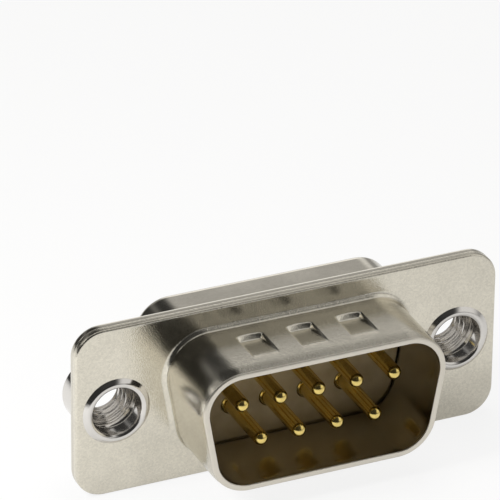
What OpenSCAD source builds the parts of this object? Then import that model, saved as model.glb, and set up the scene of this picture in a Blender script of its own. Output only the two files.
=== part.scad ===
// Nine-way D-sub plug with solder cups: two drawn shells, two moulded
// insulators, nine turned contacts and two riveted threaded standoffs.
//
// Frame: X runs along the flange, the plug mates towards -Y, the wires leave
// towards +Y, and +Z is the wide side with the row of five. The origin is the
// middle of the front flange face, halfway between the two standoffs.

/* [Flange] */
// Length of both mounting flanges
flange_l = 30.8; // [29.5:0.1:32]
// Height of both mounting flanges
flange_h = 12.5; // [12.2:0.1:14]
// Radius of the flange corners
flange_r = 2; // [1:0.1:3]
// Thickness of each sheet at the flange
sheet_t = 0.5; // [0.4:0.05:0.6]
// Rounding that the press leaves along a flange's outer edge
edge_r = 0.3; // [0.1:0.05:0.35]

/* [Front shell] */
// Widest inside measure of the mouth
mouth_w = 16.92; // [16.5:0.01:17.2]
// Inside height of the mouth
mouth_h = 8.3; // [8:0.05:8.6]
// Inside corner radius of the mouth
mouth_r = 2.4; // [1.8:0.1:3]
// Lean of the two D sides
side_angle = 10; // [5:1:15]
// Depth from the rim to the front flange face
mouth_depth = 6; // [5.5:0.1:6.5]
// Sheet thickness in the drawn walls
wall_t = 0.42; // [0.3:0.02:0.5]
// Fillet between the front wall and its flange
front_fillet = 0.4; // [0.2:0.05:0.6]
// Rounding of the cut rim
rim_r = 0.12; // [0.05:0.01:0.15]

/* [Grounding dimples] */
// Number of dimples pressed into the wide side
dimple_count = 3; // [0:1:3]
// Distance between neighbouring dimples
dimple_pitch = 3.6; // [2.6:0.1:4]
// Width of a dimple
dimple_w = 1.55; // [1:0.05:2]
// Depth of a dimple at its arch end
dimple_deep = 0.35; // [0.15:0.05:0.45]
// Distance from the flange face to the arch end
dimple_start = 1.4; // [0.8:0.1:2]
// Length over which a dimple runs out
dimple_l = 3; // [2:0.1:3.4]

/* [Rear shell] */
// Widest outside measure of the rear shell
rear_w = 18.7; // [18.6:0.1:19.3]
// Outside height of the rear shell
rear_h = 10.5; // [10.4:0.1:10.7]
// Outside corner radius of the rear shell
rear_r = 2.5; // [2.3:0.1:2.8]
// Height of the rear shell above its flange
rear_rise = 3.75; // [3.4:0.05:4.2]
// Outer radius of the shoulder round the rear face
shoulder_r = 0.6; // [0.5:0.05:0.7]
// Width of the lip that the shoulder turns in
lip_w = 0.7; // [0.6:0.05:0.8]
// Fillet between the rear wall and its flange
rear_fillet = 0.35; // [0.2:0.05:0.5]

/* [Insulators] */
// How far the front insulator's face lies behind the flange face
face_depth = 0.1; // [0:0.05:0.15]
// Depth of the joint between the two insulators, behind the flange face
parting_y = 2.6; // [2.4:0.1:3]
// Depth of the rear insulator's rear face, behind the flange face
rear_face_y = 6.3; // [6:0.1:6.6]
// Rounding of the rear insulator's rear edges
neck_edge_r = 0.35; // [0.1:0.05:0.5]
// Clearance round moulded and turned parts
clearance = 0.02; // [0.01:0.005:0.04]

/* [Contacts] */
// Distance between neighbours in a row
pitch = 2.77; // [2.7:0.01:2.8]
// Distance between the two rows
row_gap = 2.84; // [2.8:0.01:2.9]
// Diameter of a pin
pin_d = 1.02; // [0.9:0.01:1.1]
// Distance from the flange face to a pin's tip
pin_reach = 5.2; // [4.8:0.1:5.4]
// Diameter of the core behind a pin, up to the front insulator's face
core_d = 1.4; // [1.3:0.05:1.45]
// Diameter of the collar held between the insulators
collar_d = 1.9; // [1.8:0.05:2]
// Thickness of that collar
collar_t = 0.9; // [0.6:0.1:1.2]
// Outside diameter of a solder cup
cup_od = 1.5; // [1.4:0.05:1.6]
// Bore of a solder cup
cup_id = 1.1; // [0.9:0.05:1.2]
// Distance from the flange face to a cup's end
cup_reach = 9.1; // [8.8:0.1:9.4]
// Depth of a cup's bore
cup_depth = 2.2; // [1.8:0.1:2.4]
// Height of the slanted opening in a cup's side
scoop_h = 1.6; // [1.2:0.1:1.8]

/* [Standoffs] */
// Distance between the two mounting holes
hole_pitch = 24.99; // [24.9:0.01:25.1]
// Diameter of a standoff's body
standoff_d = 5; // [4.8:0.1:5.2]
// Length of the body behind the rear flange
standoff_l = 2.55; // [2.2:0.05:3]
// Diameter of the shank that passes through both flanges
shank_d = 3.9; // [3.8:0.05:4]
// Clear bore through the shank
shank_bore_d = 3.5; // [3.3:0.05:3.6]
// Bore under the thread
thread_bore_d = 2.6; // [2.4:0.05:2.8]
// Outside diameter of the flare riveted over the front flange
flare_d = 4.85; // [4.6:0.05:5]
// Height of the flare above the front flange
flare_h = 0.25; // [0.15:0.05:0.3]
// Diameter of the countersink at the rear end
countersink_d = 3.6; // [3.2:0.1:3.8]

/* [Hidden] */
$fn = 64;
eps = 0.01;
corner_steps = 10;          // facets round one corner of a pressed or moulded part
arc_steps = 5;              // facets along one arc of a section

nickel = [0.80, 0.78, 0.74];
bright_nickel = [0.72, 0.71, 0.69];
cream = [0.87, 0.82, 0.69];
gold = [0.85, 0.65, 0.25];

// Each part is drawn with the mating side up: z is minus Y, y is Z. In that
// drawing the flange face is z = 0 and everything behind it is negative.
rear_flange_z = -2 * sheet_t;
rear_top_z = rear_flange_z - rear_rise;
bend_r = 0.35;              // rounding of a shell's inner bend at the flange
hole_d = shank_d + 0.1;     // rivet holes in both flanges
fit = 0.08;                 // moulded collars inside the rear shell
shoulder_step = 0.2;        // step that clears the shoulder's inner bend
neck_gap = 0.12;            // gap between the neck and the lip's opening
foot_d = cup_od + 0.24;     // small foot of a cup on the insulator
foot_h = 0.2;
thread_top_z = -1.4;        // where the clear bore has narrowed to the thread
standoff_end_z = rear_flange_z - standoff_l;
row_y = row_gap / 2;

// A D path: the four corner centres, counter-clockwise from the upper right,
// the corner radius, and the angles at which each corner starts and turns. The
// sides lean in by side_angle towards -y.
function d_path(w, h, r) =
    let (x_top = w / 2 - r,
         x_low = x_top - (h - 2 * r) * tan(side_angle),
         y = h / 2 - r)
    [[[x_top, y], [-x_top, y], [-x_low, -y], [x_low, -y]], r,
     [-side_angle, 90, 180 + side_angle, 270],
     [90 + side_angle, 90 + side_angle, 90 - side_angle, 90 - side_angle]];

// A rounded rectangle as the same kind of path.
function box_path(w, h, r) =
    let (x = w / 2 - r, y = h / 2 - r)
    [[[x, y], [-x, y], [-x, -y], [x, -y]], r, [0, 90, 180, 270], [90, 90, 90, 90]];

front_path = d_path(mouth_w, mouth_h, mouth_r);
rear_path = d_path(rear_w - 2 * wall_t, rear_h - 2 * wall_t, rear_r - wall_t);
flange_path = box_path(flange_l, flange_h, flange_r);

// Filled outline of a path, grown outwards by g: four discs at the corners and
// the polygon of the points where the straight sides leave them.
module outline(path, g = 0) {
    r = path[1] + g;
    for (c = path[0]) translate(c) circle(r);
    polygon([for (i = [0:3], k = [0, 1])
        path[0][i] + r * [cos(path[2][i] + k * path[3][i]),
                          sin(path[2][i] + k * path[3][i])]]);
}

// Slab of a path's outline between two heights.
module slab(path, g, z0, z1) {
    translate([0, 0, z0]) linear_extrude(z1 - z0) outline(path, g);
}

// One closed ring of points along a path, at p = [distance outwards, height].
function ring(path, p) =
    [for (i = [0:3], k = [0:corner_steps])
        let (a = path[2][i] + path[3][i] * k / corner_steps,
             xy = path[0][i] + (path[1] + p[0]) * [cos(a), sin(a)])
        [xy[0], xy[1], p[1]]];

// Points of an arc in a section, from angle a0 to angle a1.
function arc(centre, r, a0, a1) =
    [for (k = [0:arc_steps])
        let (a = a0 + (a1 - a0) * k / arc_steps)
        centre + r * [cos(a), sin(a)]];

// Solid between rings of equal length. A closed skin joins its last ring to
// its first, as round a sheet; an open one is capped at both ends.
module skin(rings, closed) {
    n = len(rings[0]);
    m = len(rings);
    sides = [for (j = [0:closed ? m - 1 : m - 2], i = [0:n - 1])
        let (up = ((j + 1) % m) * n, here = j * n, next = (i + 1) % n)
        [here + i, up + i, up + next, here + next]];
    caps = closed ? [] : [[for (i = [0:n - 1]) i],
                          [for (i = [n - 1:-1:0]) (m - 1) * n + i]];
    polyhedron([for (r = rings, p = r) p], concat(sides, caps));
}

// Pressed sheet: wall_section follows the D path, edge_section follows the
// flange, and both run counter-clockwise round the metal. Two rivet holes.
module pressed_sheet(path, wall_section, edge_section) {
    difference() {
        skin(concat([for (p = wall_section) ring(path, p)],
                    [for (p = edge_section) ring(flange_path, p)]), true);
        for (x = [-1, 1])
            translate([x * hole_pitch / 2, 0, -2 * sheet_t - 1])
                cylinder(h = 2 * sheet_t + 2, d = hole_d);
    }
}

// Front shell's section: fillet, outer wall, rounded rim, inner wall, bend.
front_wall = concat(
    arc([wall_t + front_fillet, front_fillet], front_fillet, 270, 180),
    arc([wall_t - rim_r, mouth_depth - rim_r], rim_r, 0, 90),
    arc([rim_r, mouth_depth - rim_r], rim_r, 90, 180),
    arc([bend_r, bend_r - sheet_t], bend_r, 180, 270));
front_edge = concat([[0, -sheet_t]], arc([-edge_r, -edge_r], edge_r, 0, 90));

// Rear shell's section: bend, inner wall, inside of the shoulder, turned-in
// lip, shoulder, outer wall, fillet.
lip_z = rear_top_z + wall_t;
inner_r = shoulder_r - wall_t;
rear_wall = concat(
    arc([bend_r, -sheet_t - bend_r], bend_r, 90, 180),
    arc([-inner_r, lip_z + inner_r], inner_r, 0, -90),
    [[-lip_w, lip_z], [-lip_w, rear_top_z]],
    arc([wall_t - shoulder_r, rear_top_z + shoulder_r], shoulder_r, -90, 0),
    arc([wall_t + rear_fillet, rear_flange_z - rear_fillet], rear_fillet, 180, 90));
rear_edge = concat(arc([-edge_r, rear_flange_z + edge_r], edge_r, -90, 0), [[0, -sheet_t]]);

// Outline of a dimple seen from the wide side: an arch at the flange end.
module dimple_outline(grow) {
    w = dimple_w + 2 * grow;
    arch_r = w / 3;
    low = dimple_start - grow;
    translate([-w / 2, low + arch_r]) square([w, dimple_l]);
    translate([-w / 2 + arch_r, low]) square([w - 2 * arch_r, arch_r + eps]);
    for (x = [-1, 1]) translate([x * (w / 2 - arch_r), low + arch_r]) circle(arch_r);
}

// Wedge under the ramp of a dimple, from the ramp down to full depth. y = 0 is
// the surface that is dented, and drop lowers the ramp by the sheet's thickness.
module dimple_ramp(drop, thick) {
    translate([0, -drop - dimple_deep, dimple_start])
        rotate([-atan(dimple_deep / dimple_l), 0, 0])
            translate([-dimple_w, 0, -1]) cube([2 * dimple_w, thick, dimple_l + 2]);
}

// Dent left outside by one dimple.
module dimple_pocket() {
    intersection() {
        translate([0, 1, 0]) rotate([90, 0, 0]) linear_extrude(2) dimple_outline(0);
        dimple_ramp(0, 2);
    }
}

// Metal that the same dimple pushes into the mouth.
module dimple_boss() {
    intersection() {
        translate([0, -wall_t + eps, 0]) rotate([90, 0, 0])
            linear_extrude(dimple_deep + eps) dimple_outline(0.1);
        dimple_ramp(wall_t, 2);
    }
}

// Places one child at every dimple, on the outer face of the wide side.
module at_dimples() {
    for (i = [0:1:dimple_count - 1])
        translate([(i - (dimple_count - 1) / 2) * dimple_pitch, mouth_h / 2 + wall_t, 0])
            children();
}

module front_shell() {
    color(nickel) rotate([90, 0, 0]) difference() {
        union() {
            pressed_sheet(front_path, front_wall, front_edge);
            at_dimples() dimple_boss();
        }
        at_dimples() dimple_pocket();
    }
}

module rear_shell() {
    color(bright_nickel) rotate([90, 0, 0])
        pressed_sheet(rear_path, rear_wall, rear_edge);
}

// Where the contacts stand: pins 1 to 5 on the wide side, 6 to 9 on the other,
// numbered from -X to +X.
function contact_xy(n) = n <= 5
    ? [(n - 3) * pitch, row_y]
    : [(n - 7.5) * pitch, -row_y];

// One bore for every contact.
module contact_bores(d, z0, z1) {
    for (n = [1:9])
        translate([contact_xy(n)[0], contact_xy(n)[1], z0]) cylinder(h = z1 - z0, d = d);
}

module front_insulator() {
    color(cream) rotate([90, 0, 0]) difference() {
        union() {
            slab(front_path, -fit, -sheet_t - eps, -face_depth);
            slab(rear_path, -fit, -parting_y, -sheet_t);
        }
        contact_bores(core_d + 2 * clearance, -parting_y - 1, 1);
        contact_bores(collar_d + 2 * clearance, -parting_y - 1, -parting_y + collar_t);
    }
}

// Rear insulator's half outline: collar, step under the lip, neck, rounded end.
neck = -lip_w - neck_gap;
rear_moulding = concat(
    [[-fit, -parting_y], [-fit, lip_z + shoulder_step],
     [-shoulder_step, lip_z + shoulder_step], [-shoulder_step, lip_z], [neck, lip_z]],
    arc([neck - neck_edge_r, -rear_face_y + neck_edge_r], neck_edge_r, 0, -90));

module rear_insulator() {
    color(cream) rotate([90, 0, 0]) difference() {
        skin([for (p = rear_moulding) ring(rear_path, p)], false);
        contact_bores(cup_od + 2 * clearance, -rear_face_y - 1, -parting_y + 1);
    }
}

// Turned blank of a contact: domed pin, core, collar, cup body and its small foot.
module contact_blank() {
    dome_z = pin_reach - pin_d / 2;
    translate([0, 0, -parting_y]) cylinder(h = parting_y + dome_z, d = pin_d);
    translate([0, 0, -parting_y]) cylinder(h = parting_y - face_depth, d = core_d);
    translate([0, 0, dome_z]) sphere(d = pin_d);
    translate([0, 0, -parting_y]) cylinder(h = collar_t, d = collar_d);
    translate([0, 0, -cup_reach]) cylinder(h = cup_reach - parting_y + eps, d = cup_od);
    translate([0, 0, -rear_face_y - foot_h]) cylinder(h = foot_h, d1 = cup_od, d2 = foot_d);
}

// Contact n. Its cup opens away from the other row.
module contact(n) {
    out = n <= 5 ? 0 : 180;
    color(gold) rotate([90, 0, 0]) translate(contact_xy(n)) rotate(out) difference() {
        contact_blank();
        translate([0, 0, -cup_reach - 1]) cylinder(h = cup_depth + 1, d = cup_id);
        translate([0, 0, -cup_reach]) rotate([-atan(cup_od / 2 / scoop_h), 0, 0])
            translate([-cup_od, 0, -cup_od]) cube([2 * cup_od, cup_od, cup_od + 2 * scoop_h]);
    }
}

// Half section of a standoff: body, shank, clear bore, thread bore, countersink.
module standoff_section() {
    body_r = standoff_d / 2;
    bore_r = shank_bore_d / 2;
    thread_r = thread_bore_d / 2;
    sink_r = countersink_d / 2;
    chamfer = 0.15;
    polygon([[thread_r, thread_top_z], [bore_r, thread_top_z + bore_r - thread_r],
             [bore_r, eps], [shank_d / 2, eps],
             [shank_d / 2, rear_flange_z], [body_r, rear_flange_z],
             [body_r, standoff_end_z + chamfer], [body_r - chamfer, standoff_end_z],
             [sink_r, standoff_end_z], [thread_r, standoff_end_z + sink_r - thread_r]]);
}

// Half section of the flare: a low rounded ring on the front flange.
module flare_section() {
    half = (flare_d - shank_bore_d) / 4;
    flare_r = (half * half + flare_h * flare_h) / (2 * flare_h);
    intersection() {
        translate([shank_bore_d / 2 + half, flare_h - flare_r]) circle(flare_r);
        translate([shank_bore_d / 2, 0]) square([2 * half, flare_h + 1]);
    }
}

// Standoff riveted through both flanges on one side.
module standoff(side) {
    color(bright_nickel) rotate([90, 0, 0]) translate([side * hole_pitch / 2, 0, 0]) {
        rotate_extrude() standoff_section();
        rotate_extrude() flare_section();
    }
}

front_shell();
rear_shell();
front_insulator();
rear_insulator();
for (n = [1:9])
    contact(n);
standoff(-1);  // standoff_left
standoff(1);  // standoff_right
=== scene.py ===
"""Finished pieces of a nine-way D-sub plug with solder cups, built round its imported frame.

X runs along the flange, the plug mates towards -Y, the solder cups point towards +Y, and +Z is the
wide side of the D with the row of five. All lengths are in metres.
"""

import math

import bmesh
import bpy
import numpy as np
from bpy.props import FloatProperty, FloatVectorProperty, IntProperty, PointerProperty
from mathutils import Matrix, Vector


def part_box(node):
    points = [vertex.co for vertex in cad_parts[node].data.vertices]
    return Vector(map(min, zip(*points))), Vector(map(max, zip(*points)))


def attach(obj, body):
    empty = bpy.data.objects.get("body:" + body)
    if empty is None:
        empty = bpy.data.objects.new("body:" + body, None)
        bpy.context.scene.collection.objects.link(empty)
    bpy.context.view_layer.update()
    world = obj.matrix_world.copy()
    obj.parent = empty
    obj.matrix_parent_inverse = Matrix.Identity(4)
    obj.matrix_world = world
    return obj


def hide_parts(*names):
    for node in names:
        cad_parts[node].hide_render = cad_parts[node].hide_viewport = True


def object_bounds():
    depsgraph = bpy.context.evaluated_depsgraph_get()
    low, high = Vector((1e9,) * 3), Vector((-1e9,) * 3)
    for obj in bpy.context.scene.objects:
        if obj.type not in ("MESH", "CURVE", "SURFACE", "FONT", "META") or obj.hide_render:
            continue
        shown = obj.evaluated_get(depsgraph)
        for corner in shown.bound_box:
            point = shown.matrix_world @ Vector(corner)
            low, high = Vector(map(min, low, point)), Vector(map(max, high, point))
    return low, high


bl_info = {
    "name": "D-sub plug with solder cups",
    "version": (1, 0, 0),
    "blender": (4, 5, 0),
    "location": "View3D > Sidebar > Plug",
    "description": "Builds the finished shells, insulators, contacts and standoffs of a D-sub plug",
    "category": "Add Mesh",
}

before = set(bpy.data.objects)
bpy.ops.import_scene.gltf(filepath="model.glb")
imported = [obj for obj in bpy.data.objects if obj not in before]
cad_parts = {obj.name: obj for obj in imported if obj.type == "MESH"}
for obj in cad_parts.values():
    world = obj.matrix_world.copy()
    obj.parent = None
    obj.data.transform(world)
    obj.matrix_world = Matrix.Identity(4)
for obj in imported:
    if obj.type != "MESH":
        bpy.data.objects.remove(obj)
cad_low, cad_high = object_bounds()

MM = 0.001
FLANGE_LOW, FLANGE_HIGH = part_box("rear_shell")
MERGE = 1e-7            # points closer than this are one
CORNER_SEGMENTS = 24    # steps round one corner of a D
SEAM_X = 10.05 * MM     # where a flange's middle strip meets its two ears


# ---------------------------------------------------------------- settings


def length(name, description, millimetres):
    """A length property whose default is given in millimetres."""
    return FloatProperty(name=name, description=description, default=millimetres * MM,
                         min=0.0, unit="LENGTH", precision=5)


def colour(name, description, rgb):
    """A linear colour property."""
    return FloatVectorProperty(name=name, description=description, default=rgb,
                               size=3, min=0.0, max=1.0, subtype="COLOR")


class FlangeSizes(bpy.types.PropertyGroup):
    """Sizes that both mounting flanges share."""

    long: FloatProperty(name="Length", description="Length of both flanges", unit="LENGTH",
                        default=FLANGE_HIGH.x - FLANGE_LOW.x)
    high: FloatProperty(name="Height", description="Height of both flanges", unit="LENGTH",
                        default=FLANGE_HIGH.z - FLANGE_LOW.z)
    corner: length("Corner radius", "Radius of the flange corners", 2.0)
    sheet: length("Sheet", "Thickness of each sheet", 0.5)
    edge: length("Pressed edge", "Rounding of the outward edge", 0.3)
    seam: length("Seam edge", "Rounding where the two sheets meet", 0.07)
    pitch: length("Hole pitch", "Distance between the two mounting holes", 24.99)
    hole: length("Hole", "Diameter of the rivet holes", 4.0)


class FrontShellSizes(bpy.types.PropertyGroup):
    """Sizes of the drawn front shell."""

    wide: length("Mouth width", "Widest inside measure of the mouth", 16.92)
    high: length("Mouth height", "Inside height of the mouth", 8.3)
    corner: length("Mouth corner", "Inside corner radius", 2.4)
    wall: length("Wall", "Thickness of the drawn wall", 0.42)
    depth: length("Depth", "From the flange face to the rim", 6.0)
    fillet: length("Fillet", "Fillet between wall and flange", 0.4)
    rim: length("Rim rounding", "Rounding of the cut rim", 0.1)
    bend: length("Bend", "Inner bend at the flange", 0.8)
    lean: FloatProperty(name="Side lean", description="Lean of the two D sides",
                        default=math.radians(10), subtype="ANGLE")


class DimpleSizes(bpy.types.PropertyGroup):
    """Grounding dimples in the wide side of the front shell."""

    count: IntProperty(name="Count", description="Number of dimples", default=3, min=0, max=3)
    pitch: length("Pitch", "Distance between neighbouring dimples", 3.6)
    floor: length("Floor width", "Width of the flat floor", 1.5)
    slope: length("Side slope", "Width of the sloping sides at full depth", 0.17)
    deep: length("Depth", "Depth at the arch end", 0.34)
    start: length("Start", "From the flange face to the floor's far edge", 1.68)
    arch: length("Arch", "How far the arch stands behind the floor's far edge", 0.32)
    run: length("Run-out", "Length over which the floor rises to the wall", 2.6)


class RearShellSizes(bpy.types.PropertyGroup):
    """Sizes of the drawn rear shell."""

    wide: length("Width", "Widest outside measure", 18.7)
    high: length("Height", "Outside height", 10.5)
    corner: length("Corner", "Outside corner radius", 2.5)
    rise: length("Rise", "Height above its flange", 3.75)
    shoulder: length("Shoulder", "Rounding round the rear face", 0.6)
    lip: length("Lip", "Width of the turned-in lip", 0.7)
    fillet: length("Fillet", "Fillet between wall and flange", 0.35)


class InsulatorSizes(bpy.types.PropertyGroup):
    """Sizes of the rear insulator."""

    parting: length("Parting", "Depth of the joint between the two halves", 2.6)
    back: length("Rear face", "Depth of the rear face", 6.3)
    gap: length("Neck gap", "Gap between the neck and the lip", 0.12)
    edge: length("Edge", "Rounding of the rear edges", 0.38)


class ContactSizes(bpy.types.PropertyGroup):
    """Sizes of one turned contact and of the pattern of nine."""

    pitch: length("Pitch", "Distance between neighbours in a row", 2.77)
    rows: length("Rows", "Distance between the two rows", 2.84)
    pin: length("Pin", "Diameter of the pin", 1.02)
    reach: length("Reach", "From the flange face to the pin's tip", 5.2)
    core: length("Core", "Diameter of the core that shows round the pin's foot", 1.24)
    face: length("Face", "Depth of the core's front end behind the flange face", 0.13)
    cup: length("Cup", "Outside diameter of the solder cup", 1.5)
    bore: length("Bore", "Bore of the solder cup", 1.1)
    end: length("Cup end", "From the flange face to the cup's end", 9.1)
    scoop: length("Scoop", "Height of the slanted opening", 1.6)


class StandoffSizes(bpy.types.PropertyGroup):
    """Sizes of one riveted standoff."""

    body: length("Body", "Diameter of the body", 5.0)
    back: length("Rear end", "From the flange face to the rear end", 3.55)
    flare: length("Flare", "Diameter of the flare on the front flange", 4.85)
    flare_high: length("Flare height", "Height of the flare", 0.25)
    bore: length("Clear bore", "Diameter of the clear bore", 3.5)
    thread: length("Thread bore", "Diameter inside the thread's crests", 2.6)
    groove: length("Thread depth", "Depth of the thread's grooves", 0.16)
    thread_pitch: length("Thread pitch", "Distance between neighbouring grooves", 0.6)


class Finishes(bpy.types.PropertyGroup):
    """Base colours of the finishes."""

    front: colour("Front shell", "Satin nickel of the front shell", (0.70, 0.665, 0.575))
    rear: colour("Rear shell", "Bright nickel of the rear shell", (0.62, 0.59, 0.52))
    standoff: colour("Standoffs", "Bright nickel of the standoffs", (0.62, 0.59, 0.52))
    gold: colour("Contacts", "Gold plate of the contacts", (0.80, 0.62, 0.21))
    cream: colour("Insulator", "Moulded cream plastic", (0.50, 0.405, 0.245))


class StageSettings(bpy.types.PropertyGroup):
    """Camera and floor."""

    azimuth: FloatProperty(name="Azimuth", description="Camera's turn round the plug",
                           default=math.radians(-24.9), subtype="ANGLE")
    elevation: FloatProperty(name="Elevation", description="Camera's height angle",
                             default=math.radians(29.7), subtype="ANGLE")
    roll: FloatProperty(name="Roll", description="Camera's roll",
                        default=math.radians(0.9), subtype="ANGLE")
    distance: FloatProperty(name="Distance", description="From the camera to the plug's origin",
                            default=0.3597, unit="LENGTH")
    lens: FloatProperty(name="Lens", description="Focal length in millimetres", default=386.3)
    aim_right: FloatProperty(name="Aim right", description="Origin's place right of the picture's "
                             "middle, as a share of its width", default=0.0766)
    aim_down: FloatProperty(name="Aim down", description="Origin's place below the picture's "
                            "middle, as a share of its width", default=0.2483)


# ---------------------------------------------------------------- shapes


def rounded_outline(centres, radius, starts, turns, side_segments):
    """Closed outline of four corner arcs joined by straight sides.

    Corner k is centre + radius * (cos a, sin a), where a runs from starts[k] through turns[k]
    degrees. A straight line joins it to the next corner. Returns the points and their outward unit
    normals, so the outline grown by g is points + g * normals.
    """
    points, normals = [], []
    for k in range(4):
        a = np.radians(starts[k] + turns[k] * np.linspace(0, 1, CORNER_SEGMENTS + 1))
        n = np.stack([np.cos(a), np.sin(a)], 1)
        arc = centres[k] + radius * n
        b = math.radians(starts[(k + 1) % 4])
        end = centres[(k + 1) % 4] + radius * np.array([math.cos(b), math.sin(b)])
        t = np.linspace(0, 1, side_segments[k] + 1)[1:-1, None]
        points += [arc, arc[-1] + (end - arc[-1]) * t]
        normals += [n, np.repeat(n[-1:], len(t), 0)]
    return np.concatenate(points), np.concatenate(normals)


def d_outline(wide, high, radius, lean, side_segments):
    """D outline in X and Z: a rounded box whose two ends lean in by `lean` towards -Z."""
    top = wide / 2 - radius
    low = top - (high - 2 * radius) * math.tan(lean)
    z = high / 2 - radius
    centres = np.array([[top, z], [-top, z], [-low, -z], [low, -z]])
    tilt = math.degrees(lean)
    return rounded_outline(centres, radius, [-tilt, 90, 180 + tilt, 270],
                           [90 + tilt, 90 + tilt, 90 - tilt, 90 - tilt], side_segments)


def corner_middles(side_segments):
    """Index of the middle point of each corner arc of a rounded outline."""
    steps = np.cumsum([0] + [CORNER_SEGMENTS + n for n in side_segments[:3]])
    return steps + CORNER_SEGMENTS // 2


def eased(corners, radii, steps=4):
    """Polyline with each inner corner rounded.

    Corner k gives way to the quadratic curve (1-t)^2 a + 2t(1-t) c + t^2 b from the point a,
    radii[k] before the corner c, to the point b as far behind it. A radius of 0 keeps the corner.
    """
    corners = np.asarray(corners, float)
    radii = np.broadcast_to(radii, len(corners) - 2)
    out = [corners[:1]]
    t = np.linspace(0, 1, steps + 1)[:, None]
    for k, r in enumerate(radii, 1):
        back, here, on = corners[k - 1:k + 2]
        if r == 0:
            out.append(here[None])
            continue
        d0, d1 = np.linalg.norm(here - back), np.linalg.norm(on - here)
        a = here + (back - here) * min(r / d0, 0.49)
        b = here + (on - here) * min(r / d1, 0.49)
        out.append((1 - t) ** 2 * a + 2 * t * (1 - t) * here + t ** 2 * b)
    out.append(corners[-1:])
    return np.concatenate(out)


def smooth_min(a, b, blend):
    """The lesser of a and b, with the kink between them rounded over `blend`."""
    h = np.clip(0.5 + 0.5 * (b - a) / blend, 0, 1)
    return b * (1 - h) + a * h - blend * h * (1 - h)


def dimple_depth(x, y, sizes, grow):
    """Depth of one dimple, x from its middle and y in front of the flange face.

    It is the least of three: the floor, a ramp that falls to full depth at the far edge; the side
    slopes, deep * (half width - |x|) / slope; and the arch wall, which rises from the floor's
    straight far edge to an elliptic arch on the surface. Below zero there is no dimple.
    """
    half = sizes.floor / 2 + sizes.slope + grow
    start = sizes.start - grow
    floor = sizes.deep * (1 - (y - start) / (sizes.run + 2 * grow))
    side = sizes.deep * (half - np.abs(x)) / sizes.slope
    bulge = np.sqrt(np.clip(1 - (x / half) ** 2, 0, 1))
    arch = sizes.deep * (1 + (y - start) / (sizes.arch * (0.25 + 0.75 * bulge)))
    blend = 0.05 * MM
    depth = smooth_min(smooth_min(floor, side, blend), arch, 0.04 * MM)
    return np.maximum(0.5 * (depth + np.sqrt(depth ** 2 + (0.03 * MM) ** 2)) - 0.004 * MM, 0)


class Skin:
    """Grids of points gathered into one mesh."""

    def __init__(self):
        """Starts with nothing gathered."""
        self.points, self.faces, self.marks, self.count = [], [], [], 0

    def grid(self, points, around=False, mark=None):
        """Adds a grid of rows and columns of points; `around` joins the last column to the first.

        mark is one value a row, kept as the mesh's attribute `finish_and_shade`.
        """
        rows, columns = points.shape[:2]
        index = np.arange(rows * columns).reshape(rows, columns) + self.count
        if around:
            index = np.concatenate([index, index[:, :1]], 1)
        quads = np.stack([index[:-1, :-1], index[1:, :-1], index[1:, 1:], index[:-1, 1:]], -1)
        self.points.append(points.reshape(-1, 3))
        self.faces += quads.reshape(-1, 4).tolist()
        mark = np.zeros(rows) if mark is None else np.asarray(mark, float)
        self.marks.append(np.repeat(mark, columns))
        self.count += rows * columns

    def cap(self, ring):
        """Closes a flat ring of points with one face."""
        self.points.append(ring)
        self.faces.append(list(range(self.count, self.count + len(ring))))
        self.marks.append(np.zeros(len(ring)))
        self.count += len(ring)

    def piece(self, name, material, slot, replaced):
        """Turns the gathered grids into a closed, smooth mesh object that rides on the body."""
        mesh = bpy.data.meshes.new(name)
        mesh.from_pydata(np.concatenate(self.points).tolist(), [], self.faces)
        finish_and_shade = mesh.attributes.new("finish_and_shade", "FLOAT", "POINT")
        finish_and_shade.data.foreach_set("value", np.concatenate(self.marks).astype(np.float32))
        work = bmesh.new()
        work.from_mesh(mesh)
        bmesh.ops.remove_doubles(work, verts=work.verts, dist=MERGE)
        bmesh.ops.recalc_face_normals(work, faces=work.faces)
        work.to_mesh(mesh)
        work.free()
        mesh.polygons.foreach_set("use_smooth", np.ones(len(mesh.polygons), bool))
        mesh.materials.append(material)
        mesh.update()
        piece = bpy.data.objects.new(name, mesh)
        bpy.context.scene.collection.objects.link(piece)
        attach(piece, "root")
        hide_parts(replaced)
        return piece


def plan(points, y):
    """Points in X and Z, laid at depth y."""
    return np.stack([points[..., 0], np.broadcast_to(y, points.shape[:-1]), points[..., 1]], -1)


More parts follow.
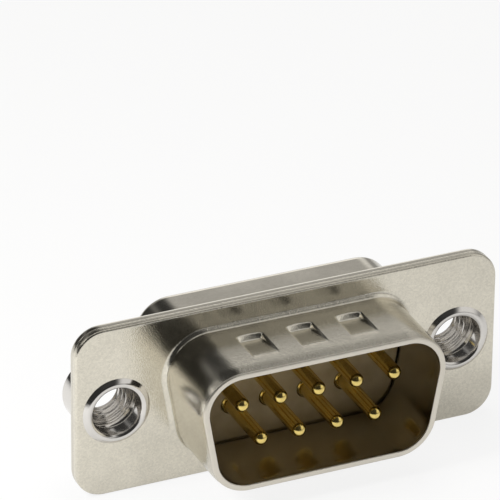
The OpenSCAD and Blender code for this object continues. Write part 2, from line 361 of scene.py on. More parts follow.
def flange_outline(flange, points, middles):
    """Outline of a flange: points, outward normals, and how many of them go round the first ear.

    The two ears are rounded corners with straight sides. Along the middle of the top and bottom
    the points keep to the D outline's own: X is the outline's X times SEAM_X over the X of its
    corner's middle, so every ray of the middle strip ends on a point.
    """
    x, z, r = flange.long / 2, flange.high / 2, flange.corner

    def line(a, b, n):
        """n points from a, stopping short of b."""
        return np.linspace(a, b, n, endpoint=False)

    a = np.radians(np.linspace(-90, 0, 13))
    corner = np.stack([np.cos(a), np.sin(a)], 1)
    low = np.concatenate([line([SEAM_X, -z], [x - r, -z], 9), [x - r, r - z] + corner * r,
                          line([x, r - z], [x, 0], 9)[1:]])
    low_n = np.concatenate([np.tile([0.0, -1.0], (9, 1)), corner, np.tile([1.0, 0.0], (8, 1))])
    mirror = np.array([1, -1])
    right = np.concatenate([low, [[x, 0]], low[::-1] * mirror])
    right_n = np.concatenate([low_n, [[1.0, 0.0]], low_n[::-1] * mirror])
    top = points[middles[0]:middles[1] + 1, 0]
    top = top / np.abs(top[0]) * SEAM_X
    bottom = points[middles[2]:middles[3] + 1, 0]
    bottom = bottom / np.abs(bottom[0]) * SEAM_X

    def strip(xs, side):
        """Points and normals along the top (side 1) or bottom (side -1), without the ends."""
        inner = xs[1:-1]
        return (np.stack([inner, np.full(len(inner), side * z)], 1),
                np.tile([0.0, side], (len(inner), 1)))

    top_p, top_n = strip(top, 1.0)
    bottom_p, bottom_n = strip(bottom, -1.0)
    flip = np.array([-1, 1])
    return (np.concatenate([right, top_p, right[::-1] * flip, bottom_p]),
            np.concatenate([right_n, top_n, right_n[::-1] * flip, bottom_n]), len(right))


def end_spans(points, middles):
    """Indices of the points round the D's -X end and round its +X end, middle to middle."""
    return (np.arange(middles[1], middles[2] + 1),
            np.arange(middles[3], middles[0] + 1 + len(points)) % len(points))


def ear_rings(flange, points, middles, side, inset):
    """Rings round one ear: along its edge and its seam with the strip, and round its rivet hole.

    Each point of the hole lies on the ray from the hole's centre to the same point of the edge.
    """
    edge, edge_n, ear = flange_outline(flange, points, middles)
    rim = (edge - edge_n * inset)[:ear] * [side, 1]
    zs = points[end_spans(points, middles)[side > 0], 1]
    level = flange.high / 2 - inset
    zs = -level + (zs - zs.min()) / (zs.max() - zs.min()) * 2 * level
    seam = np.stack([np.full(len(zs), side * SEAM_X), zs], 1)[::-side]
    ring = np.concatenate([rim, seam[1:-1]])
    centre = np.array([side * flange.pitch / 2, 0])
    ray = ring - centre
    hole = centre + ray / np.linalg.norm(ray, axis=1, keepdims=True) * flange.hole / 2
    return ring, hole


def flange_face(skin, flange, outline, side_segments, grow, y, inset):
    """Flat face of a flange at depth y, from the D outline grown by `grow` to `inset` off its edge.

    The middle strip joins each point of the D to a point of the strip's box by straight rays. Each
    ear joins its own edge to the rivet hole by rays from the hole's centre. Rows are bunched at
    both ends, so the flat stays flat under smooth shading.
    """
    points, normals = outline
    middles = corner_middles(side_segments)
    high = flange.high / 2 - inset
    box = np.empty_like(points)
    top = slice(middles[0], middles[1] + 1)
    bottom = slice(middles[2], middles[3] + 1)
    for part, level in ((top, high), (bottom, -high)):
        xs = points[part, 0]
        box[part] = np.stack([xs / np.abs(xs[0]) * SEAM_X, np.full(len(xs), level)], 1)
    left, right = end_spans(points, middles)
    for part, x, ends in ((left, -SEAM_X, (high, -high)), (right, SEAM_X, (-high, high))):
        zs = points[part, 1]
        zs = ends[0] + (zs - zs[0]) / (zs[-1] - zs[0]) * (ends[1] - ends[0])
        box[part] = np.stack([np.full(len(zs), x), zs], 1)
    t = np.array([0, 0.04, 0.5, 0.96, 1])[:, None, None]
    foot = points + normals * grow
    skin.grid(plan(foot + (box - foot) * t, y), around=True)
    t = np.array([0, 0.03, 0.3, 0.65, 0.97, 1])[:, None, None]
    for side in (1, -1):
        ring, hole = ear_rings(flange, points, middles, side, inset)
        skin.grid(plan(hole + (ring - hole) * t, y), around=True)


def flange_rims(skin, flange, outline, side_segments, front, back, front_round, back_round):
    """Outer edge of a flange, and the walls of its two rivet holes, from `front` to `back`."""
    points, _ = outline
    middles = corner_middles(side_segments)
    edge, edge_n, _ = flange_outline(flange, points, middles)
    section = eased([[front_round, front], [0, front], [0, back], [back_round, back]],
                    [front_round, back_round], 6)
    section[0], section[-1] = [front_round, front], [back_round, back]
    inset = section[:, :1, None]
    skin.grid(plan(edge[None] - edge_n[None] * inset, section[:, 1:2]), around=True)
    for side in (1, -1):
        rows = [plan(ear_rings(flange, points, middles, side, rounding)[1], y)
                for rounding, y in ((front_round, front), (back_round, back))]
        skin.grid(np.stack(rows), around=True)


def lathe(skin, profile, centre, columns):
    """Surface of revolution round an axis along Y through centre: x = r cos a, z = r sin a.

    profile holds r and y a row; each may vary with the angle a.
    """
    a = np.linspace(0, 2 * np.pi, columns, endpoint=False)
    r, y = (np.broadcast_to(p, (len(p), columns)) for p in profile)
    grid = np.stack([centre[0] + r * np.cos(a), y, centre[1] + r * np.sin(a)], -1)
    skin.grid(grid, around=True)


# ---------------------------------------------------------------- materials


def node(tree, kind, inputs=None, **settings):
    """Adds a node, sets it, and fills or links its inputs."""
    made = tree.nodes.new(kind)
    for name, value in settings.items():
        setattr(made, name, value)
    for name, value in (inputs or {}).items():
        if isinstance(value, bpy.types.NodeSocket):
            tree.links.new(value, made.inputs[name])
        else:
            made.inputs[name].default_value = value
    return made


def math_node(tree, operation, a, b):
    """One step of arithmetic on two values."""
    return node(tree, "ShaderNodeMath", {0: a, 1: b}, operation=operation).outputs[0]


def mix(tree, factor, a, b):
    """Colour between a and b."""
    made = node(tree, "ShaderNodeMix", {"Factor": factor, "A": a, "B": b}, data_type="RGBA")
    return made.outputs["Result"]


def mix_value(tree, factor, a, b):
    """Value between a and b."""
    made = tree.nodes.new("ShaderNodeMix")
    for socket, value in zip(made.inputs[:1] + made.inputs[2:4], (factor, a, b)):
        if isinstance(value, bpy.types.NodeSocket):
            tree.links.new(value, socket)
        else:
            socket.default_value = value
    return made.outputs[0]


def effect(name, inputs, outputs):
    """A new shader node group with named sockets, its input node and its output node."""
    tree = bpy.data.node_groups.new(name, "ShaderNodeTree")
    for socket, kind, value in inputs:
        made = tree.interface.new_socket(socket, in_out="INPUT", socket_type=kind)
        if value is not None:
            made.default_value = value
    for socket, kind in outputs:
        tree.interface.new_socket(socket, in_out="OUTPUT", socket_type=kind)
    return tree, tree.nodes.new("NodeGroupInput"), tree.nodes.new("NodeGroupOutput")


def plate_grain():
    """Grain of a plated surface: fine noise for relief, and flecks of lighter and darker crystals."""
    if "plate_grain" in bpy.data.node_groups:
        return bpy.data.node_groups["plate_grain"]
    tree, given, out = effect(
        "plate_grain",
        [("Position", "NodeSocketVector", None), ("Size", "NodeSocketFloat", 0.1)],
        [("Height", "NodeSocketFloat"), ("Fleck", "NodeSocketFloat")])
    scale = math_node(tree, "DIVIDE", 1.0, given.outputs["Size"])
    fine = node(tree, "ShaderNodeTexNoise", {
        "Vector": given.outputs["Position"], "Scale": scale, "Detail": 2.0, "Roughness": 0.65})
    cell = node(tree, "ShaderNodeTexVoronoi", {
        "Vector": given.outputs["Position"], "Scale": scale})
    shade = node(tree, "ShaderNodeSeparateColor", {0: cell.outputs["Color"]})
    tree.links.new(fine.outputs[0], out.inputs["Height"])
    tree.links.new(shade.outputs[0], out.inputs["Fleck"])
    return tree


def soft_mottle():
    """Soft patches a few times wider than they are sharp, from 0 to 1."""
    if "soft_mottle" in bpy.data.node_groups:
        return bpy.data.node_groups["soft_mottle"]
    tree, given, out = effect(
        "soft_mottle",
        [("Position", "NodeSocketVector", None), ("Size", "NodeSocketFloat", 2.0)],
        [("Mask", "NodeSocketFloat")])
    scale = math_node(tree, "DIVIDE", 1.0, given.outputs["Size"])
    noise = node(tree, "ShaderNodeTexNoise", {
        "Vector": given.outputs["Position"], "Scale": scale, "Detail": 3.0, "Roughness": 0.5})
    soft = node(tree, "ShaderNodeMapRange", {
        "Value": noise.outputs[0], "From Min": 0.32, "From Max": 0.68}, clamp=True,
        interpolation_type="SMOOTHSTEP")
    tree.links.new(soft.outputs[0], out.inputs["Mask"])
    return tree


def use(tree, group, inputs):
    """Places a node group in a material with its own values."""
    return node(tree, "ShaderNodeGroup", inputs, node_tree=group)


def start_material(name):
    """An empty material, its Principled shader, and Object coordinates in millimetres."""
    material = bpy.data.materials.new(name)
    material.use_nodes = True
    tree = material.node_tree
    shader = tree.nodes["Principled BSDF"]
    where = node(tree, "ShaderNodeTexCoord").outputs["Object"]
    position = node(tree, "ShaderNodeVectorMath", {0: where, "Scale": 1000.0}, operation="SCALE")
    return material, tree, shader, position.outputs[0]


def plated(name, base, grain, relief, roughness, tint=0.06, patches=2.2, inside=None, cut=None):
    """Plated metal: grained relief, crystal flecks, soft patches of roughness and tint.

    Where the mesh's `finish_and_shade` is -1 the surface is the smooth inside of a drawing, which
    also takes the darker colour given for it as painted shade, and where it is 1 it is a sheared edge
    with coarser relief.
    """
    if name in bpy.data.materials:
        return bpy.data.materials[name]
    material, tree, shader, position = start_material(name)
    shader.inputs["Metallic"].default_value = 1.0
    fine = use(tree, plate_grain(), {"Position": position, "Size": grain})
    patch = use(tree, soft_mottle(), {"Position": position, "Size": patches})
    rough = mix_value(tree, patch.outputs[0], roughness[0], roughness[1])
    light = tuple(min(1.0, c * (1 + tint)) for c in base) + (1,)
    dark = tuple(c * (1 - tint) for c in base) + (1,)
    fleck = mix_value(tree, 0.35, fine.outputs["Fleck"], patch.outputs[0])
    shade = mix(tree, fleck, dark, light)
    strength = relief
    if inside or cut:
        finish_and_shade = node(tree, "ShaderNodeAttribute", attribute_name="finish_and_shade").outputs["Fac"]
        sheared = math_node(tree, "MAXIMUM", finish_and_shade, 0.0)
        # share of the inside (mark -1): smoother, and its darker given colour is painted shade
        smooth = math_node(tree, "MULTIPLY", math_node(tree, "MINIMUM", finish_and_shade, 0.0), -1.0)
        for share, part in ((smooth, inside), (sheared, cut)):
            rough = mix_value(tree, share, rough, part["roughness"])
            shade = mix(tree, share, shade, tuple(part["colour"]) + (1,))
            strength = mix_value(tree, share, strength, part["relief"])
    tree.links.new(shade, shader.inputs["Base Color"])
    tree.links.new(rough, shader.inputs["Roughness"])
    height = math_node(tree, "MULTIPLY", fine.outputs["Height"], strength)
    bump = node(tree, "ShaderNodeBump", {"Height": height, "Strength": 1.0, "Distance": 0.001})
    tree.links.new(bump.outputs[0], shader.inputs["Normal"])
    return material


def front_nickel():
    """Satin nickel with a speckled grain; mirror-like inside the mouth, with painted shade there as a
    darker, browner colour; bright sheared rim.
    """
    base = tuple(bpy.context.scene.plug_finishes.front)
    return plated("front_nickel", base, 0.11, 0.010, (0.13, 0.19), tint=0.10,
                  # inside the mouth: smoother, and a darker, browner colour that is painted shade
                  inside={"roughness": 0.15, "relief": 0.0012, "colour": [0.53, 0.48, 0.38]},
                  cut={"roughness": 0.34, "relief": 0.022, "colour": [0.72, 0.68, 0.60]})


def rear_nickel():
    """Bright nickel, nearly a mirror, with a faint orange peel."""
    base = tuple(bpy.context.scene.plug_finishes.rear)
    return plated("rear_nickel", base, 0.28, 0.0016, (0.09, 0.15), tint=0.04, patches=3.0)


def standoff_nickel():
    """Bright nickel over turned metal."""
    base = tuple(bpy.context.scene.plug_finishes.standoff)
    return plated("standoff_nickel", base, 0.2, 0.003, (0.14, 0.22), tint=0.06, patches=1.2)


def gold_plate():
    """Bright gold over turned metal, with faint patches from handling."""
    base = tuple(bpy.context.scene.plug_finishes.gold)
    return plated("gold_plate", base, 0.12, 0.001, (0.12, 0.22), tint=0.08, patches=0.7)


def moulded_cream():
    """Glass-filled cream plastic: faint clouding, a satin skin and a little light through edges."""
    if "moulded_cream" in bpy.data.materials:
        return bpy.data.materials["moulded_cream"]
    material, tree, shader, position = start_material("moulded_cream")
    base = tuple(bpy.context.scene.plug_finishes.cream)
    cloud = use(tree, soft_mottle(), {"Position": position, "Size": 1.6})
    grain = use(tree, plate_grain(), {"Position": position, "Size": 0.16})
    dark = tuple(c * f for c, f in zip(base, (0.90, 0.88, 0.84))) + (1,)
    light = tuple(c * f for c, f in zip(base, (1.07, 1.08, 1.12))) + (1,)
    body = mix(tree, cloud.outputs[0], dark, light)
    specks = node(tree, "ShaderNodeMapRange", {
        "Value": grain.outputs["Fleck"], "From Min": 0.86, "From Max": 1.0, "To Max": 0.18})
    tree.links.new(mix(tree, specks.outputs[0], body, light), shader.inputs["Base Color"])
    rough = mix_value(tree, cloud.outputs[0], 0.40, 0.52)
    tree.links.new(rough, shader.inputs["Roughness"])
    shader.inputs["Subsurface Weight"].default_value = 0.25
    shader.inputs["Subsurface Radius"].default_value = (1.0, 0.8, 0.5)
    shader.inputs["Subsurface Scale"].default_value = 0.0006
    height = math_node(tree, "MULTIPLY", grain.outputs["Height"], 0.004)
    bump = node(tree, "ShaderNodeBump", {"Height": height, "Strength": 1.0, "Distance": 0.001})
    tree.links.new(bump.outputs[0], shader.inputs["Normal"])
    return material


# ---------------------------------------------------------------- pieces


class BuildFrontShell(bpy.types.Operator):
    """Drawn front shell: flange, fillet, D wall with grounding dimples, cut rim and inner wall."""

    bl_idname = "plug.front_shell"
    bl_label = "Front shell"

    def execute(self, context):
        """Section rows run out over the wall, round the rim and back inside."""
        scene = context.scene
        shell, flange, dimples = scene.plug_front, scene.plug_flange, scene.plug_dimples
        sides = (184, 16, 60, 16)
        outline = d_outline(shell.wide, shell.high, shell.corner, shell.lean, sides)
        points, normals = outline
        wall, fillet, rim, bend = shell.wall, shell.fillet, shell.rim, shell.bend
        end = -shell.depth
        a = np.linspace(0, np.pi / 2, 9)
        foot = np.stack([wall + fillet - fillet * np.sin(a), -fillet + fillet * np.cos(a)], 1)
        # close rows over the stretch that holds the dimples
        fine = -np.arange(1.2, 4.7, 0.066) * MM
        rows = np.concatenate([np.linspace(-fillet, fine[0], 6)[1:-1], fine,
                               np.linspace(fine[-1], end + rim, 14)[1:-1]])
        outer = np.stack([np.full(len(rows), wall), rows], 1)
        turned = eased([[wall, end + 2 * rim], [wall, end], [0, end], [0, end + 2 * rim]],
                       rim, 5)[1:-1]
        inner = np.stack([np.zeros(len(rows)), rows[::-1]], 1)
        back = np.stack([bend - bend * np.cos(a), flange.sheet - bend + bend * np.sin(a)], 1)
        section = np.concatenate([foot, outer, turned, inner, back])
        grow = np.repeat(section[:, :1], len(points), 1)
        depth = -section[:, 1:2]
        # the wall draws in a little over the last millimetre before the rim
        draw_in, draw_length = 0.11 * MM, MM
        lip = np.clip((depth - (shell.depth - draw_length)) / draw_length, 0, 1)
        grow -= draw_in * lip ** 2
        first = len(foot)
        last = len(section) - len(back)
        for k in range(dimples.count):
            x = points[None, :, 0] - (k - (dimples.count - 1) / 2) * dimples.pitch
            wide = (normals[:, 1] > 0.999)[None]
            for part, more in ((slice(first, first + len(outer)), 0.0),
                               (slice(last - len(inner), last), 0.08 * MM)):
                dent = dimple_depth(x, depth[part], dimples, more)
                grow[part] -= np.where(wide, dent, 0)
        skin = Skin()
        mark = np.zeros(len(section))
        mark[first + len(outer):last - len(inner)] = 1
        # -1: inside of the mouth and the inner bend, smoother and given a painted shade colour
        mark[last - len(inner):] = -1
        grid = points[None] + normals[None] * grow[..., None]
        skin.grid(plan(grid, section[:, 1:2]), around=True, mark=mark)
        flange_face(skin, flange, outline, sides, wall + fillet, 0.0, flange.edge)
        flange_face(skin, flange, outline, sides, bend, flange.sheet, flange.seam)
        flange_rims(skin, flange, outline, sides, 0.0, flange.sheet, flange.edge, flange.seam)
        skin.piece("drawn_front_shell", front_nickel(), "front_shell_nickel", "front_shell")
        return {"FINISHED"}


class BuildRearShell(bpy.types.Operator):
    """Drawn rear shell: flange, fillet, D wall, shoulder and the lip turned in over the insulator."""

    bl_idname = "plug.rear_shell"
    bl_label = "Rear shell"

    def execute(self, context):
        """Section rows run up the inside, over the lip and down the outer wall."""
        scene = context.scene
        shell, flange = scene.plug_rear, scene.plug_flange
        wall, bend = scene.plug_front.wall, scene.plug_front.bend
        sides = (60, 16, 50, 16)
        outline = d_outline(shell.wide - 2 * wall, shell.high - 2 * wall, shell.corner - wall,
                            scene.plug_front.lean, sides)
        points, normals = outline
        seam, back = flange.sheet, 2 * flange.sheet
        top = back + shell.rise
        inner_r = shell.shoulder - wall
        section = eased(
            [[bend, seam], [0, seam], [0, top - wall], [-shell.lip, top - wall],
             [-shell.lip, top], [wall, top], [wall, back], [wall + shell.fillet, back]],
            [bend, inner_r, 0.06 * MM, 0.08 * MM, shell.shoulder, shell.fillet], 10)
        grow = section[:, :1, None]
        skin = Skin()
        skin.grid(plan(points[None] + normals[None] * grow, section[:, 1:2]), around=True)
        flange_face(skin, flange, outline, sides, bend, seam, flange.seam)
        flange_face(skin, flange, outline, sides, wall + shell.fillet, back, flange.edge)
        flange_rims(skin, flange, outline, sides, seam, back, flange.seam, flange.edge)
        skin.piece("drawn_rear_shell", rear_nickel(), "rear_shell_nickel", "rear_shell")
        return {"FINISHED"}


class BuildInsulators(bpy.types.Operator):
    """Rear insulator with its rounded neck, and the material of the front insulator's face."""

    bl_idname = "plug.insulators"
    bl_label = "Insulators"

    def execute(self, context):
        """The rear half is the rear shell's inner outline, shrunk and raised row by row."""
        scene = context.scene
        shell, sizes = scene.plug_rear, scene.plug_insulator
        wall = scene.plug_front.wall
        points, normals = d_outline(shell.wide - 2 * wall, shell.high - 2 * wall,
                                    shell.corner - wall, scene.plug_front.lean, (30, 10, 26, 10))
        step = 2 * scene.plug_flange.sheet + shell.rise - wall
        neck = -shell.lip - sizes.gap
        # how far inside the rear shell's inner outline each step of the section lies
        collar, ledge, cap = -0.08 * MM, -0.2 * MM, -1.6 * MM
        section = eased(
            [[cap, sizes.parting], [collar, sizes.parting],
             [collar, step - 0.2 * MM], [ledge, step - 0.2 * MM], [ledge, step], [neck, step],
             [neck, sizes.back], [cap, sizes.back]],
            [0.03 * MM, 0.03 * MM, 0.02 * MM, 0.02 * MM, 0.02 * MM, sizes.edge], 8)
        skin = Skin()
        grid = points[None] + normals[None] * section[:, :1, None]
        skin.grid(plan(grid, section[:, 1:2]), around=True)
        for end in (0, -1):
            skin.cap(plan(grid[end], section[end, 1]))
        skin.piece("moulded_rear_half", moulded_cream(), "insulator", "rear_insulator")
        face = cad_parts["front_insulator"]
        face.data.materials.clear()
        face.data.materials.append(moulded_cream())
        return {"FINISHED"}


class BuildContacts(bpy.types.Operator):
    """Nine turned contacts, each a domed pin, a collar and a solder cup with a slanted opening."""

    bl_idname = "plug.contacts"
    bl_label = "Contacts"

    def execute(self, context):
        """One closed surface of revolution; above the foot the cup's rows follow the slanted cut.

        The cut's height at angle a and radius r is end - max(0, r sin a) * scoop / cup radius.
        """
        scene = context.scene
        sizes, insulator = scene.plug_contacts, scene.plug_insulator
        pin, cup, bore = sizes.pin / 2, sizes.cup / 2, sizes.bore / 2
        back, parting = insulator.back, insulator.parting
        a = np.linspace(0, np.pi / 2, 12)
        dome = np.stack([pin * np.sin(a), -sizes.reach + pin - pin * np.cos(a)], 1)
        core, face = sizes.core / 2, sizes.face
        collar, collar_front = 0.95 * MM, parting - 0.9 * MM
        stem = eased([dome[-1], [pin, face], [core, face], [core, collar_front],
                      [collar, collar_front],
                      [collar, parting], [cup, parting], [cup, back - 0.05 * MM],
                      [cup + 0.12 * MM, back - 0.02 * MM], [cup + 0.03 * MM, back + 0.12 * MM],
                      [cup, back + 0.22 * MM]], 0.03 * MM, 3)
        columns = 56
        turn = np.linspace(0, 2 * np.pi, columns, endpoint=False)
        base = np.concatenate([dome[:-1], stem])
        ones = np.ones(columns)
        radius = [ones * r for r in base[:, 0]]
        depth = [ones * y for y in base[:, 1]]

        def cut(r):
            """Height of the slanted cut round the turn, at radius r."""
            return sizes.end - np.maximum(0, r * np.sin(turn)) * sizes.scoop / cup

        soft = 0.035 * MM
        for share in np.linspace(0, 1, 16)[1:]:
            radius.append(ones * cup)
            depth.append(base[-1, 1] + (cut(cup) - soft - base[-1, 1]) * share)
        for r, drop in ((cup - 0.3 * soft, 0.3), (cup - soft, 0.0), (bore + soft, 0.0),
                        (bore + 0.3 * soft, 0.3)):
            radius.append(ones * r)
            depth.append(cut(r) - soft * drop)
        floor = sizes.end - 2.2 * MM
        for share in np.linspace(1, 0, 14):
            radius.append(ones * bore)
            depth.append(floor + (cut(bore) - soft - floor) * share)
        for r, y in ((0.97, -0.02), (0.5, -0.12), (0.0, -0.26)):
            radius.append(ones * bore * r)
            depth.append(ones * (floor + y * MM))
        radius, depth = np.array(radius), np.array(depth)
        for number in range(1, 10):
            wide = number <= 5
            x = (number - (3 if wide else 7.5)) * sizes.pitch
            z = sizes.rows / 2 * (1 if wide else -1)
            skin = Skin()
            way = 1 if wide else -1
            grid = np.stack([x + way * radius * np.cos(turn), depth,
                             z + way * radius * np.sin(turn)], -1)
            skin.grid(grid, around=True)
            skin.piece(f"pin_and_cup_{number}", gold_plate(), "contact_gold", f"contact_{number}")
        return {"FINISHED"}


class BuildStandoffs(bpy.types.Operator):
    """Two standoffs: flare riveted on the front flange, clear bore, thread and body behind."""

    bl_idname = "plug.standoffs"
    bl_label = "Standoffs"

    def execute(self, context):
        """A closed ring section turned round Y; the thread is a triangle wave that advances with
        the turn, r = crest + groove * |2 * frac(y / pitch - a / 2 pi) - 1|."""
        scene = context.scene
        sizes, flange = scene.plug_standoffs, scene.plug_flange
        bore, thread, body = sizes.bore / 2, sizes.thread / 2, sizes.body / 2
        crest = bore + 0.27 * MM
        high = sizes.flare_high
        shank = flange.hole / 2 - 0.05 * MM
        rear = 2 * flange.sheet
        sink = 0.5 * MM
        step_front, step_back = 0.93 * MM, 1.40 * MM    # where the clear bore narrows to the thread
        front = eased([[shank, rear], [shank, 0.0], [sizes.flare / 2, 0.0],
                       [crest + 0.1 * MM, -high * 0.95], [crest - 0.06 * MM, -high],
                       [bore, -high * 0.55], [bore, step_front],
                       [thread, step_back]],
                      np.array([0, 0.02, 0.08, 0.1, 0.09, 0.04]) * MM, 5)
        wound = np.linspace(step_back, sizes.back - sink, 52)
        tail = eased([[thread, sizes.back - sink], [thread + sink, sizes.back],
                      [body - 0.18 * MM, sizes.back], [body, sizes.back - 0.18 * MM],
                      [body, rear], [shank, rear]],
                     np.array([0.05, 0.06, 0.06, 0.02]) * MM, 5)
        columns = 96
        turn = np.linspace(0, 1, columns, endpoint=False)
        rows = np.concatenate([front[:, 1], wound[1:-1], tail[:, 1]])
        radius = np.concatenate([front[:, 0], np.full(len(wound) - 2, thread), tail[:, 0]])
        radius = np.repeat(radius[:, None], columns, 1)
        part = slice(len(front), len(front) + len(wound) - 2)
        wave = np.abs(2 * ((rows[part, None] / sizes.thread_pitch - turn) % 1) - 1)
        ease = np.clip(np.minimum(rows[part] - wound[0], wound[-1] - rows[part]) / (0.2 * MM), 0, 1)
        radius[part] += sizes.groove * (wave ** 1.2) * ease[:, None]
        for side, name in ((-1, "left"), (1, "right")):
            skin = Skin()
            lathe(skin, (radius, rows[:, None] * np.ones(columns)), (side * flange.pitch / 2, 0),
                  columns)
            skin.piece(f"riveted_standoff_{name}", standoff_nickel(), "standoff_nickel",
                       f"standoff_{name}")
        return {"FINISHED"}


# ---------------------------------------------------------------- stage


def studio_card():
    """Soft-edged round card seen in a direction: 1 inside, 0 outside."""
    tree, given, out = effect(
        "studio_card",
        [("Look", "NodeSocketVector", None), ("Way", "NodeSocketVector", None),
         ("Inner", "NodeSocketFloat", 0.9), ("Outer", "NodeSocketFloat", 0.5)],
        [("Mask", "NodeSocketFloat")])
    dot = node(tree, "ShaderNodeVectorMath", {0: given.outputs["Look"], 1: given.outputs["Way"]},
               operation="DOT_PRODUCT")
    soft = node(tree, "ShaderNodeMapRange", {
        "Value": dot.outputs["Value"], "From Min": given.outputs["Outer"],
        "From Max": given.outputs["Inner"]}, clamp=True, interpolation_type="SMOOTHSTEP")
    tree.links.new(soft.outputs[0], out.inputs["Mask"])
    return tree


# Each card's azimuth from +Y towards +X and elevation, the angles of its inner and outer edge, all
# in degrees, and its brightness
CARDS = (
    (60, 75, 15, 45, 0.60),
    (25, 29, 10, 24, 0.50),
    (126, 34, 14, 38, 0.85),
    (-145, 22, 44, 62, 0.035),
    (-85, 2, 22, 40, 0.045),
    (178, 56, 14, 34, 0.05),
    (-2, 49, 15, 27, 0.04),
    (-30, 14, 10, 24, 0.05),
    (-78, 42, 6, 12, 1.8),
    (-52, 26, 4, 9, 0.9),
    (22, 12, 7, 14, 1.3),
)


ROOM = 0.36     # brightness of the room between the cards


def studio_world():
    """World: an even room of soft light, with brighter and darker soft cards hung in it."""
    world = bpy.data.worlds.new("studio")
    bpy.context.scene.world = world
    world.use_nodes = True
    tree = world.node_tree
    out = tree.nodes["World Output"]
    look = node(tree, "ShaderNodeTexCoord").outputs["Generated"]
    card = studio_card()
    room = ROOM
    for azimuth, elevation, inner, outer, bright in CARDS:
        a, e = math.radians(azimuth), math.radians(elevation)
        way = (math.sin(a) * math.cos(e), math.cos(a) * math.cos(e), math.sin(e))
        mask = use(tree, card, {"Look": look, "Way": way, "Inner": math.cos(math.radians(inner)),
                                "Outer": math.cos(math.radians(outer))})
        room = mix_value(tree, mask.outputs[0], room, bright)
    lit = node(tree, "ShaderNodeBackground", {"Color": (1.0, 0.985, 0.955, 1)})
    tree.links.new(room, lit.inputs["Strength"])
    tree.links.new(lit.outputs[0], out.inputs["Surface"])


CAMERA_WHITE = 0.85     # share of plain white that the camera sees in the floor
METAL_WHITE = 0.35      # the same share in reflections and through glass


def floor_paper():
    """Plain pale paper that keeps shadows, and looks white to the camera where it is lit."""
    material = bpy.data.materials.new("floor_paper")
    material.use_nodes = True
    tree = material.node_tree
    tree.nodes.remove(tree.nodes["Principled BSDF"])
    paper = node(tree, "ShaderNodeBsdfDiffuse", {"Color": (0.86, 0.855, 0.84, 1)})
    glow = node(tree, "ShaderNodeEmission", {"Color": (1, 1, 1, 1), "Strength": 1.0})
    path = node(tree, "ShaderNodeLightPath").outputs
    metal = math_node(tree, "MAXIMUM", path["Is Glossy Ray"], path["Is Transmission Ray"])
    share = math_node(tree, "MAXIMUM", math_node(tree, "MULTIPLY", path["Is Camera Ray"],
                                                 CAMERA_WHITE),
                      math_node(tree, "MULTIPLY", metal, METAL_WHITE))
    both = node(tree, "ShaderNodeMixShader", {0: share, 1: paper.outputs[0], 2: glow.outputs[0]})
    tree.links.new(both.outputs[0], tree.nodes["Material Output"].inputs["Surface"])
    return material


# Place and size in millimetres and power in watts of each soft light
LIGHTS = (
    ("key", (-70, -8, 62), 36, 0.070),
    ("top", (20, 40, 150), 90, 0.070),
)


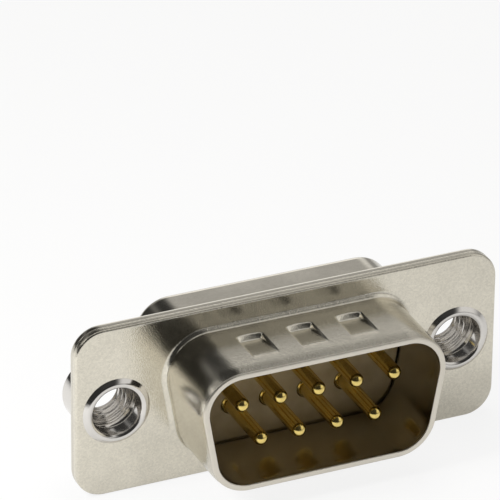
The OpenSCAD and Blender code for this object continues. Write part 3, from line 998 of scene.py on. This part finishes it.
class BuildStage(bpy.types.Operator):
    """Floor, world, lights and camera."""

    bl_idname = "plug.stage"
    bl_label = "Stage"

    def execute(self, context):
        """The camera looks along the stage settings, turned so that the origin falls off-centre."""
        scene = context.scene
        stage = scene.plug_stage
        scene.view_settings.view_transform = "Standard"
        half = 3.0      # half of the floor's side, in metres
        mesh = bpy.data.meshes.new("floor")
        low = cad_low.z
        mesh.from_pydata([(-half, -half, low), (half, -half, low), (half, half, low),
                          (-half, half, low)], [], [(0, 1, 2, 3)])
        mesh.materials.append(floor_paper())
        floor = bpy.data.objects.new("floor", mesh)
        scene.collection.objects.link(floor)
        studio_world()
        for name, place, size, power in LIGHTS:
            lamp = bpy.data.lights.new(name, "AREA")
            lamp.shape, lamp.size, lamp.energy = "DISK", size * MM, power
            light = bpy.data.objects.new(name, lamp)
            light.location = Vector(place) * MM
            light.rotation_mode = "QUATERNION"
            light.rotation_quaternion = light.location.to_track_quat("Z", "Y")
            light.visible_glossy = light.visible_camera = False
            scene.collection.objects.link(light)
        back = Vector((math.sin(stage.azimuth) * math.cos(stage.elevation),
                       -math.cos(stage.azimuth) * math.cos(stage.elevation),
                       math.sin(stage.elevation)))
        right = Vector((math.cos(stage.azimuth), math.sin(stage.azimuth), 0))
        up = back.cross(right)
        r, u = (math.cos(stage.roll) * right + math.sin(stage.roll) * up,
                math.cos(stage.roll) * up - math.sin(stage.roll) * right)
        turn = Matrix((r, u, back)).transposed()
        data = bpy.data.cameras.new("camera")
        data.lens, data.sensor_width = stage.lens, 36
        data.clip_start, data.clip_end = 0.01, 20
        share = data.sensor_width / data.lens
        seen = Vector((stage.aim_right * share, -stage.aim_down * share, -1)).normalized()
        aim = seen.rotation_difference(Vector((0, 0, -1))).to_matrix()
        camera = bpy.data.objects.new("camera", data)
        camera.matrix_world = (Matrix.Translation(back * stage.distance) @ (turn @ aim).to_4x4())
        scene.collection.objects.link(camera)
        scene.camera = camera
        return {"FINISHED"}


OPERATORS = (BuildStage, BuildFrontShell, BuildRearShell, BuildInsulators, BuildContacts,
             BuildStandoffs)


class PlugPanel(bpy.types.Panel):
    """Buttons that build the plug's pieces."""

    bl_idname = "VIEW3D_PT_plug"
    bl_label = "D-sub plug"
    bl_space_type = "VIEW_3D"
    bl_region_type = "UI"
    bl_category = "Plug"

    def draw(self, context):
        """One button for each operator."""
        for operator in OPERATORS:
            self.layout.operator(operator.bl_idname)


SETTINGS = {
    "plug_flange": FlangeSizes,
    "plug_front": FrontShellSizes,
    "plug_dimples": DimpleSizes,
    "plug_rear": RearShellSizes,
    "plug_insulator": InsulatorSizes,
    "plug_contacts": ContactSizes,
    "plug_standoffs": StandoffSizes,
    "plug_finishes": Finishes,
    "plug_stage": StageSettings,
}


def register():
    """Registers the settings, the operators and the panel."""
    for name, group in SETTINGS.items():
        bpy.utils.register_class(group)
        setattr(bpy.types.Scene, name, PointerProperty(type=group))
    for made in OPERATORS + (PlugPanel,):
        bpy.utils.register_class(made)


def unregister():
    """Takes everything back out."""
    for made in reversed(OPERATORS + (PlugPanel,)):
        bpy.utils.unregister_class(made)
    for name, group in reversed(SETTINGS.items()):
        delattr(bpy.types.Scene, name)
        bpy.utils.unregister_class(group)


def main():
    register()
    for operator in OPERATORS:
        group, name = operator.bl_idname.split(".")
        getattr(getattr(bpy.ops, group), name)()


if __name__ == "__main__":
    main()
